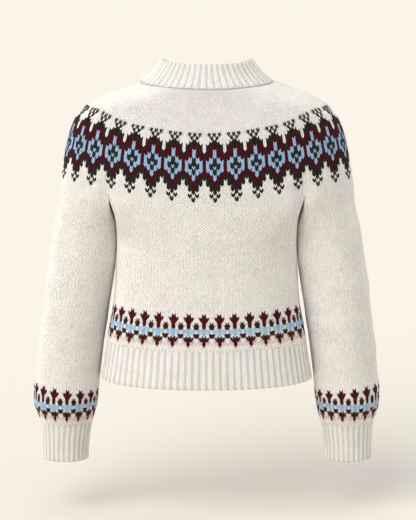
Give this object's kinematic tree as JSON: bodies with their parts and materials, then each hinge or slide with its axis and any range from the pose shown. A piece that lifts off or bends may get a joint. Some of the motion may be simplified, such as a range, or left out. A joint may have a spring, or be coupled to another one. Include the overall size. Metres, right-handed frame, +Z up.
{
  "type": "fair isle cardigan",
  "caption": "Knitted round-yoke cardigan with a patterned yoke and hem bands, ribbed collar, cuffs and hem, worn shape, hollow.",
  "frame": {"origin": "middle of the neck at the height of the collar seam, where the wearer's neck and shoulders hold the garment", "axes": "+Z up, -Y towards the buttoned front, +X towards the wearer's left"},
  "size_m": [0.5882, 0.2191, 0.6923],
  "materials": {
    "wool_knit": "matt heathered wool in stocking stitch, patterned in charcoal, maroon and light blue",
    "wool_rib": "matt heathered wool in one by one rib",
    "button": "polished dark horn look"
  },
  "bodies": {
    "root": {"yoke_back": "wool_knit", "yoke_front_left": "wool_knit", "yoke_front_right": "wool_knit", "back": "wool_knit", "front_left": "wool_knit", "front_right": "wool_knit", "sleeve_left": "wool_knit", "sleeve_right": "wool_knit", "collar": "wool_rib", "hem_rib_back": "wool_rib", "hem_rib_left": "wool_rib", "hem_rib_right": "wool_rib", "cuff_left": "wool_rib", "cuff_right": "wool_rib", "button_band": "wool_rib", "buttonhole_band": "wool_rib", "button_1": "button", "button_2": "button", "button_3": "button", "button_4": "button", "button_5": "button", "button_6": "button", "button_7": "button", "button_8": "button"}
  },
  "joints": []
}
